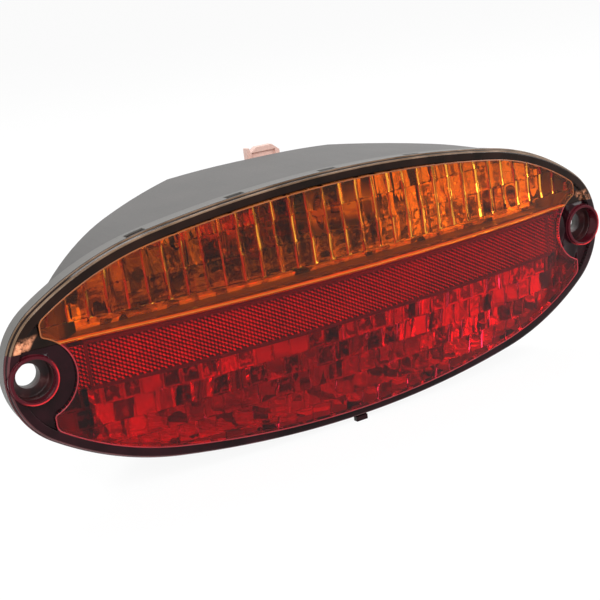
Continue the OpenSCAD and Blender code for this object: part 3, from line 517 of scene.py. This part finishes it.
def window_outline(inset):
    """The window: the oval, cut off at its ends, with a bay round each ear and its corners
    rounded."""
    x = WIN_L - CORNER_R
    oval = oval_quarter(RIM_W + CORNER_R)
    (xa, za), (xb, zb) = next((a, b) for a, b in zip(oval, oval[1:]) if b[0] > x)
    z = za + (zb - za) * (x - xa) / (xb - xa)
    turn = math.atan2(xb - xa, za - zb)
    near = x + (CORNER_R - inset) * math.cos(turn)
    upper = [p for p in oval_quarter(RIM_W + inset) if p[0] < near - ARC_GAP]
    x2 = WIN_L - TIP_R
    z2 = math.sqrt((BAY_R + TIP_R) ** 2 - (HOLE_X - x2) ** 2)
    bay = math.atan2(x2 - HOLE_X, z2)
    end = math.atan2(HOLE_X - x2, -z2)
    return mirrored(
        upper + arc_points((x, z), CORNER_R - inset, math.pi / 2 - turn, math.pi / 2, 8)
        + arc_points((x2, z2), TIP_R - inset, math.pi / 2, end, 6)
        + arc_points((HOLE_X, 0.0), BAY_R + inset, bay, -math.pi / 2, 20)
        + [(HOLE_X - BAY_R - inset, 0.0)])


def circle_outline(x, radius, steps=96):
    """A circle on the X axis."""
    return [(x + radius * math.cos(2 * math.pi * i / steps),
             radius * math.sin(2 * math.pi * i / steps)) for i in range(steps)]


def moved(outline, x, z):
    """An outline given from a corner, put at that corner."""
    return [(x + dx, z + dz) for dx, dz in outline]


# ---------------------------------------------------------------- mesh helpers

def make_object(name, verts, faces):
    """A mesh object from points in millimetres."""
    mesh = bpy.data.meshes.new(name)
    mesh.from_pydata([Vector(v) * MM for v in verts], [], faces)
    mesh.validate()
    return link_mesh(name, mesh)


def link_mesh(name, mesh):
    """A new object in the scene for a mesh."""
    obj = bpy.data.objects.new(name, mesh)
    bpy.context.scene.collection.objects.link(obj)
    return obj


def rework(mesh, step, source=None):
    """Runs one bmesh step on a mesh, or fills it from what the step makes of source."""
    work = bmesh.new()
    work.from_mesh(source or mesh)
    step(work)
    work.to_mesh(mesh)
    work.free()


def turned_out(obj):
    """Makes all faces of a closed mesh look outwards."""
    rework(obj.data, lambda work: bmesh.ops.recalc_face_normals(work, faces=work.faces))
    return obj


def weld(work):
    """Joins the points that a CAD mesh has twice."""
    bmesh.ops.remove_doubles(work, verts=work.verts, dist=WELD * MM)


def flatten(work):
    """Joins the faces that lie in one plane, so that they shade as one."""
    bmesh.ops.dissolve_limit(work, angle_limit=math.radians(FLAT_DEGREES), verts=work.verts,
                             edges=work.edges)


def thicken_corners(work):
    """Turns the lattice of cube corners into a moulding."""
    bmesh.ops.delete(work, geom=[v for v in work.verts if not v.link_faces], context="VERTS")
    bmesh.ops.solidify(work, geom=work.faces[:], thickness=CORNER_T * MM)


def prism_object(name, outline, y0, y1):
    """An outline in X and Z, extruded from y0 to y1."""
    n = len(outline)
    verts = [(x, y0, z) for x, z in outline] + [(x, y1, z) for x, z in outline]
    faces = [tuple(range(n)), tuple(range(2 * n - 1, n - 1, -1))]
    faces += [(i, i + n, (i + 1) % n + n, (i + 1) % n) for i in range(n)]
    return turned_out(make_object(name, verts, faces))


def cut(obj, tool, operation):
    """Applies a boolean with a tool that is then thrown away."""
    modifier = obj.modifiers.new("cut", "BOOLEAN")
    modifier.operation = operation
    modifier.object = tool
    modifier.solver = "MANIFOLD"
    depsgraph = bpy.context.evaluated_depsgraph_get()
    mesh = bpy.data.meshes.new_from_object(obj.evaluated_get(depsgraph))
    obj.modifiers.clear()
    obj.data = mesh
    bpy.data.objects.remove(tool)
    return obj


def window_prism(inset):
    """The window's outline as a tall prism to cut with."""
    return prism_object("window_cutter", window_outline(inset), *THROUGH_LENS)


# ---------------------------------------------------------------- lens shapes

def lens_front(x, z):
    """The lens face: the dome, or the bowed rim where that stands in front of it."""
    r = DOME_L_R - DOME_H_R + math.sqrt(DOME_H_R ** 2 - z * z)
    return min(FACE_Y + DOME_L_R - math.sqrt(r * r - x * x),
               RIM_Y + RIM_BOW * (x / HALF_L) ** 2)


def row_places(z0, z1, steps):
    """Heights through one row, the first and last just inside its two ends."""
    return [z0 + ROW_GAP + (z1 - z0 - 2 * ROW_GAP) * i / steps for i in range(steps + 1)]


def optics_faces(nx, nz):
    """The faces of a slab with nx by nz points in front and as many behind."""
    faces = []
    for j in range(nz - 1):
        for i in range(nx - 1):
            p = j * nx + i
            q = p + nx * nz
            faces.append((p, p + 1, p + nx + 1, p + nx))
            faces.append((q, q + nx, q + nx + 1, q + 1))
    for i in range(nx - 1):
        for p in (i, (nz - 1) * nx + i):
            q = p + nx * nz
            faces.append((p, p + 1, q + 1, q) if p == i else (p, q, q + 1, p + 1))
    for j in range(nz - 1):
        for p in (j * nx, j * nx + nx - 1):
            q = p + nx * nz
            faces.append((p, q, q + nx, p + nx) if p == j * nx else (p, p + nx, q + nx, q))
    return faces


def lens_optics(name, rows):
    """The clear window over the flutes. Each row is (z0, z1, shift, swell, pillow, tilt): cells
    as wide as a flute that swell across, swell upwards by the share pillow, and lean each its
    own way."""
    dice = random.Random(CELL_SEED)
    columns = int(2 * OPTICS_REACH / FLUTE_W * FLUTE_POINTS) // 2 * 2
    xs = [(i - columns / 2) * FLUTE_W / FLUTE_POINTS for i in range(columns + 1)]
    lean = {}
    front, back = [], []
    for z0, z1, shift, swell, pillow, tilt in rows:
        for z in row_places(z0, z1, max(3, int((z1 - z0) / ROW_STEP))):
            for x in xs:
                u = x / FLUTE_W + shift + CELL_NUDGE
                cell = math.floor(u)
                fu, fv = u - cell, (z - z0) / (z1 - z0)
                if (cell, z0) not in lean:
                    lean[cell, z0] = (dice.uniform(-1, 1), dice.uniform(-1, 1),
                                      dice.uniform(0.6, 1))
                lx, lz, deep = lean[cell, z0]
                y = lens_front(x, z) + INSIDE
                depth = swell * deep * 4 * (fu * (1 - fu) + pillow * fv * (1 - fv))
                depth += tilt * (lx * (fu - 0.5) + pillow * 2 * lz * (fv - 0.5) + LEAN_BASE)
                front.append((x, y, z))
                back.append((x, y + WALL - FLUTE_ROOT + depth, z))
    slab = make_object(name, front + back, optics_faces(len(xs), len(front) // len(xs)))
    return cut(turned_out(slab), window_prism(INSIDE), "INTERSECT")


def swept_ring(name, profile, materials=(), second=()):
    """A closed ring round the lamp: a profile of (inset, depth) that follows the oval and the
    rim's bow. The profile's sides listed in second get the second material."""
    outlines = [mirrored(oval_quarter(inset)) for inset, _ in profile]
    n, m = len(outlines[0]), len(profile)
    verts = [(x, y + RIM_BOW * (x / HALF_L) ** 2, z)
             for (_, y), outline in zip(profile, outlines) for x, z in outline]
    faces = [(k * n + i, k * n + (i + 1) % n, (k + 1) % m * n + (i + 1) % n, (k + 1) % m * n + i)
             for k in range(m) for i in range(n)]
    ring = turned_out(make_object(name, verts, faces))
    for material in materials:
        ring.data.materials.append(material)
    for k in second:
        for i in range(n):
            ring.data.polygons[k * n + i].material_index = 1
    for x in (-HOLE_X, HOLE_X):
        hole = prism_object("ear_cutter", circle_outline(x, RING_R + EAR_CLEAR), *THROUGH_LENS)
        cut(ring, hole, "DIFFERENCE")
    return ring


def rim_band(name, above, materials):
    """The rim round the lens, with a rounded front edge and a fine step along its side; the
    part above or below the line between the colours."""
    # The listed sides get the paler copy of the rim finish: a painted highlight
    ring = swept_ring(name, RIM_PROFILE, materials, HIGHLIGHT_SIDES)
    z0, z1 = (SPLIT_Z, PAST_Z) if above else (-PAST_Z, SPLIT_Z)
    half = [(-PAST_X, z0), (PAST_X, z0), (PAST_X, z1), (-PAST_X, z1)]
    return cut(ring, prism_object("half_cutter", half, *THROUGH_LENS), "INTERSECT")


def lens_ears(name, node):
    """The lens outside its window and rim: skirt, snap tabs and ears, from the part's own
    mesh."""
    ears = link_mesh(name, bpy.data.meshes.new(name))
    rework(ears.data, weld, NODES[node].data)
    cut(ears, swept_ring("rim_cutter", RIM_CUTTER), "DIFFERENCE")
    cut(ears, window_prism(0.0), "DIFFERENCE")
    rework(ears.data, flatten)
    return ears


def corner_strip():
    """The cube corners as the eye meets them through the clear strip: a lattice of triangles
    whose corners have three heights, each cube about 1.4 mm across, up to the bays round the
    ears."""
    side = (STRIP_TOP - STRIP_LOW) / CORNER_ROWS / (math.sqrt(3) / 2)
    columns = int(CORNER_L / side)
    step = side / math.sqrt(2)
    verts, faces = [], []
    for j in range(CORNER_ROWS + 1):
        for i in range(columns + 1):
            x = (i - columns / 2 + j % 2 / 2 - 0.25) * side
            z = STRIP_LOW + j * side * math.sqrt(3) / 2
            level = (i - j // 2 - j) % 3
            y = lens_front(x, z) + WALL + CORNER_GAP + level * step * CORNER_DEPTH
            verts.append((x, y, z))
    wide = columns + 1
    for j in range(CORNER_ROWS):
        for i in range(columns):
            p = j * wide + i
            q = p + wide
            pair = ([(p, p + 1, q), (p + 1, q + 1, q)] if j % 2 == 0
                    else [(p, p + 1, q + 1), (p, q + 1, q)])
            for face in pair:
                x = sum(verts[k][0] for k in face) / 3
                z = sum(verts[k][2] for k in face) / 3
                if math.hypot(abs(x) - HOLE_X, z) > BAY_R + CORNER_CLEAR:
                    faces.append(face)
    strip = make_object("reflex_corner_strip", verts, faces)
    rework(strip.data, thicken_corners)
    return strip


def build_lens(node, rows, above, clear, line, rim_material, rim_painted_highlight):
    """A lens as it looks: clear window, thin line round it drawn as a painted highlight, rim with
    a painted highlight on its rounded edges, and ears.
    """
    window = lens_optics(node + "_window", rows)
    window_edge = link_mesh(node + "_window_edge", window.data.copy())
    cut(window_edge, window_prism(LINE_W), "DIFFERENCE")
    cut(window, window_prism(LINE_W + LINE_GAP), "INTERSECT")
    ears = lens_ears(node + "_ears", node)
    rim = rim_band(node + "_rim", above, (rim_material, rim_painted_highlight))
    for piece, material in ((window, clear), (window_edge, line), (ears, rim_material)):
        piece.data.materials.clear()
        piece.data.materials.append(material)
    # Smooth shading, with the edges sharper than the angle kept
    for piece, degrees in ((window, 28), (window_edge, 28), (ears, 25), (rim, 40)):
        piece.data.shade_smooth()
        piece.data.set_sharp_from_angle(angle=math.radians(degrees))
        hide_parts(node)
        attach(piece, "lens")


def connector_shroud(material):
    """The connector with its latch bridge: one end of the bridge slopes, and a thin tongue
    closes the opening under it."""
    shroud = link_mesh("connector_with_latch", NODES["connector_shroud"].data.copy())
    rework(shroud.data, weld)
    top = HALF_H - CONN_DROP + CONN_H / 2 + BRIDGE_H
    left, right = CONN_X - BRIDGE_W / 2, CONN_X + BRIDGE_W / 2
    for name, outline, x in (("slope_cutter", SLOPE, right), ("notch_cutter", NOTCH, left)):
        cut(shroud, prism_object(name, moved(outline, x, top), *THROUGH_CONNECTOR), "DIFFERENCE")
    tongue = prism_object("latch_tongue", [
        (left + TONGUE_SIDE, top - TONGUE_LOW), (right - TONGUE_SIDE, top - TONGUE_LOW),
        (right - TONGUE_SIDE, top - TONGUE_TOP), (left + TONGUE_SIDE, top - TONGUE_TOP)],
        *TONGUE_Y)
    for piece in (shroud, tongue):
        piece.data.materials.clear()
        piece.data.materials.append(material)
        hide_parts("connector_shroud")
        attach(piece, "housing")


# ---------------------------------------------------------------- the two lenses

# A row of the window: its ends, then shift, swell, pillow and tilt
FLAT = (0.0, 0.0, 0.0, 0.0)
AMBER_FLUTES = (0.0, 1.6, 0.18, 0.6)
AMBER_FIRST = (0.0, 0.12, 0.45, 0.1)     # the almost plain band above the colour line
RED_CELLS = (0.8, 0.45, 1.0)             # every other row is shifted by half a cell

amber_rows = [(SPLIT_Z, SPLIT_Z + EDGE, *FLAT), (SPLIT_Z + EDGE, AMBER_ROW0, *AMBER_FIRST)]
amber_rows += [(AMBER_ROW0 + i * AMBER_ROW_H, AMBER_ROW0 + (i + 1) * AMBER_ROW_H, *AMBER_FLUTES)
               for i in range(AMBER_ROWS)]
red_rows = [(RED_ROW0 - (i + 1) * RED_ROW_H, RED_ROW0 - i * RED_ROW_H, i % 2 / 2, *RED_CELLS)
            for i in reversed(range(RED_ROWS))]
red_rows += [(STRIP_LOW, STRIP_TOP, *FLAT), (STRIP_TOP, SPLIT_Z, *FLAT)]

# Amber acrylic, moulded and polished: it lets the chamber's light through as orange
build_lens(
    "amber_lens", amber_rows, True,
    clear_acrylic("amber_acrylic_window", tint="ffa830", shade="643a12", highlight_colour="c46a20",
                  rib_colour="8e2c0c", row0=AMBER_ROW0, row_h=AMBER_ROW_H, shift=0.0,
                  line_z=SPLIT_Z, bright_share=0.45, bright_rise=0.12, rib_strength=0.9,
                  zigzag=1.0),
    # The window's wall, opaque and paler: a painted highlight
    moulded_plastic("amber_acrylic_wall_painted_highlight", "7a3c14", "96501c", 0.2),
    # The rim, with a painted glow in the ear rings and a painted reflection near the ends
    rim_acrylic("amber_acrylic_rim", "100703", "20100a", "c04818", "f0a078"),
    # A paler copy of the rim finish for its rounded edges: a painted highlight
    rim_acrylic("amber_acrylic_rim_edge", "54402f", "7a6350", "7a6350"))

# Red acrylic, moulded and polished: its cells stand half over each other, like bricks
build_lens(
    "red_lens", red_rows, False,
    clear_acrylic("red_acrylic_window", tint="f41a3c", shade="4a0c1c", highlight_colour="981420",
                  rib_colour="5c0c14", row0=RED_ROW0, row_h=-RED_ROW_H, shift=0.5,
                  line_z=PAST_Z, bright_share=0.25, bright_rise=0.22, rib_strength=0.35,
                  zigzag=0.0),
    # The window's wall, opaque and paler: a painted highlight
    moulded_plastic("red_acrylic_wall_painted_highlight", "80101c", "a01826", 0.2),
    # The rim, with a painted glow in the ear rings
    rim_acrylic("red_acrylic_rim", "120406", "240a10", "d02c30"),
    # A paler copy of the rim finish for its rounded edges: a painted highlight
    rim_acrylic("red_acrylic_rim_edge", "3c2224", "5a3436", "5a3436"))

# ---------------------------------------------------------------- finishes by piece

dress(housing_plastic("grey_polypropylene_housing"), "housing")
# Moulded rubber: black, dull, with a soft coarse skin
dress(moulded_plastic("black_rubber_seal", "1c1c1c", "2a2a2a", 0.75, 1.25, 0.05), "lens_seal")
strip = corner_strip()
# Painted light and shade on the cube corners' facets and in patches
strip.data.materials.append(prism_plastic("metallised_cube_corners"))
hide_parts("reflex_reflector")
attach(strip, "lens")
# Moulded plastic behind the strip: dark red, half dull
dress(moulded_plastic("red_backing_plastic", "38080c", "48101a", 0.4), "reflex_backing")
# Vacuum-metallised plastic, one finish in two copies: painted shade keeps it warm and dark behind
# amber, painted light makes it cool and bright behind red
dress(chamber_metal_with_painted_light("metallised_upper_reflector", 6.25, "382e26", "c4bcb4"), "upper_reflector")
dress(chamber_metal_with_painted_light("metallised_lower_reflector", 7.692, "60606c", "e8e8f4"), "lower_reflector")
# Moulded grey plastic between the chambers, half dull
dress(moulded_plastic("grey_divider_plastic", "3c3a38", "4a4846", 0.5), "chamber_divider")
# Drawn and tinned steel: pale, with streaks round the socket
dress(sheet_metal("tinned_steel_socket", "b0aea8", "c8c6c0", 0.32, (4.0, 1.0, 1.0)),
      "indicator_socket", "stop_socket")
# Punched phenolic paper: brown and matt, with a paper grain, drawn coarser so that it shows
dress(moulded_plastic("phenolic_paper_plunger", "7a5230", "8e6238", 0.6, 0.5, 0.04),
      "indicator_plunger", "stop_plunger")
# Drawn spring wire: bright grey, with lines along the wire's turns
dress(sheet_metal("spring_steel_wire", "9a9a9a", "b4b4b4", 0.25, (1.0, 6.0, 6.0)),
      "indicator_spring", "stop_springs")
# Drawn brass: warm yellow, with lines round the cap
dress(sheet_metal("brass_bulb_cap", "b08a3c", "c9a44e", 0.28, (1.0, 4.0, 4.0)),
      "indicator_bulb_cap", "stop_bulb_cap")
# Blown glass, dipped amber for the indicator
dress(bulb_glass("amber_bulb_glass", "f09a30"), "indicator_bulb_glass")
dress(bulb_glass("clear_bulb_glass", "f4f7f7"), "stop_bulb_glass")
# Drawn tungsten: dark grey metal
dress(sheet_metal("tungsten_and_support_wire", "707070", "8c8c8c", 0.4),
      "indicator_bulb_filament", "stop_bulb_filaments")
# Pressed black glass: glossy and smooth
dress(moulded_plastic("black_bulb_base_glass", "121214", "1e1e20", 0.2, 1.667, 0.01),
      "indicator_bulb_insulator", "stop_bulb_insulator")
# Soft solder, cast as a bead: pale grey, half dull
dress(sheet_metal("solder_contact", "a8a8a4", "c0c0bc", 0.35),
      "indicator_bulb_contact", "stop_bulb_contacts")
# Rolled and punched brass: warm yellow, with rolling lines along the strip
dress(sheet_metal("rolled_brass_strip", "b08540", "c79c52", 0.33, (0.3, 1.0, 4.0)),
      "earth_strip", "indicator_strip", "stop_strip", "tail_strip")
# Headed brass: a little brighter than the strips
dress(sheet_metal("brass_rivet", "b89048", "d0a85c", 0.3), "strip_rivets")
# Moulded connector plastic: salmon pink, half dull
connector_shroud(moulded_plastic("salmon_connector_plastic", "c9a79c", "d8b8ad", 0.45))
# Moulded plastic: black and matt
dress(moulded_plastic("black_vent_plug_plastic", "181818", "262626", 0.6), "vent_plug")

# ---------------------------------------------------------------- studio, in metres

low, high = (Vector(c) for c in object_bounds())
middle = (low + high) / 2

FLOOR_HALF = 12.0
FLOOR_CLOUD = 33.33 * MM     # the faint unevenness of a painted floor
FLOOR_WHITE = 0.92           # share of white where the floor is seen: the rest keeps the shadow
WORLD_LIGHT = 0.55           # the world as a light


def seen_share(add):
    """1 where something is seen, straight or in gloss or glass, and 0 where it only lights."""
    path = add("LIGHT PATH")
    return add("MAXIMUM", path["Is Camera Ray"],
               add("MAXIMUM", path["Is Glossy Ray"], path["Is Transmission Ray"]))


def add_floor():
    """A wide pale floor under the part that keeps the part's soft shadow."""
    mesh = bpy.data.meshes.new("floor")
    mesh.from_pydata([(-FLOOR_HALF, -FLOOR_HALF, 0), (FLOOR_HALF, -FLOOR_HALF, 0),
                      (FLOOR_HALF, FLOOR_HALF, 0), (-FLOOR_HALF, FLOOR_HALF, 0)],
                     [], [(0, 1, 2, 3)])
    floor = link_mesh("floor", mesh)
    floor.location = (0, 0, low.z)
    material, add = new_finish("pale_studio_floor")
    cloud = add("NOISE", add("PLACE"), 1 / FLOOR_CLOUD)
    lit = add("DIFFUSE", add("RAMP", cloud, stops=[(0.3, "f4f4f4"), (0.7, "f8f8f8")]))
    share = add("MULTIPLY", FLOOR_WHITE, seen_share(add))
    add("OUTPUT", add("MIX SHADERS", share, lit, add("EMISSION", srgb("ffffff"), 1.0)))
    mesh.materials.append(material)
    floor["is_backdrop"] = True


def add_world():
    """A plain world: white where it is seen, and dimmer as a light."""
    world = bpy.data.worlds.new("studio")
    bpy.context.scene.world = world
    world.use_nodes = True
    world.node_tree.nodes.clear()
    add = partial(add_node, world.node_tree)
    add("WORLD OUTPUT", add("MIX SHADERS", seen_share(add),
                            add("BACKGROUND", srgb("ffffff"), WORLD_LIGHT),
                            add("BACKGROUND", srgb("ffffff"), 1.0)))


def add_softbox(name, place, aim, size, watts):
    """A soft rectangular lamp at place, turned towards aim."""
    data = bpy.data.lights.new(name, "AREA")
    data.shape = "RECTANGLE"
    data.size, data.size_y = size
    data.energy = watts
    lamp = bpy.data.objects.new(name, data)
    lamp.location = place
    lamp.rotation_mode = "QUATERNION"
    lamp.rotation_quaternion = (aim - place).to_track_quat("-Z", "Y")
    bpy.context.scene.collection.objects.link(lamp)


# Softboxes: name, place, size, and watts
SOFTBOXES = [("key", (-0.6, -0.9, 0.9), (0.8, 0.8), 16.0),
             ("top", (0.2, 0.5, 1.0), (1.2, 0.3), 10.0),
             ("side", (1.0, -0.6, 0.4), (0.3, 0.8), 6.0)]

add_floor()
add_world()
for name, place, size, watts in SOFTBOXES:
    add_softbox(name, Vector(place), middle, size, watts)

# The camera: its angles in degrees, what it looks at, and its lens
VIEW_YAW = 29.0
VIEW_DOWN = 16.0
VIEW_ROLL = 7.101
VIEW_DISTANCE = 420.0 * MM
VIEW_TARGET = Vector((-19.60, -15.97, 3.63)) * MM
LENS_MM = 75.574
SENSOR_MM = 36.0
CLIP_START = 0.01


def add_camera():
    """Looks at the lens from its left and from above, with the camera tipped a little."""
    data = bpy.data.cameras.new("camera")
    data.sensor_width = SENSOR_MM
    data.lens = LENS_MM
    data.clip_start = CLIP_START
    camera = bpy.data.objects.new("camera", data)
    bpy.context.scene.collection.objects.link(camera)
    turn = (Matrix.Rotation(math.radians(-VIEW_YAW), 4, "Z")
            @ Matrix.Rotation(math.radians(90 - VIEW_DOWN), 4, "X")
            @ Matrix.Rotation(math.radians(-VIEW_ROLL), 4, "Z"))
    back = turn.to_3x3() @ Vector((0, 0, 1))
    camera.matrix_world = Matrix.Translation(VIEW_TARGET + back * VIEW_DISTANCE) @ turn
    bpy.context.scene.camera = camera


add_camera()
bpy.context.scene.view_settings.view_transform = "Standard"
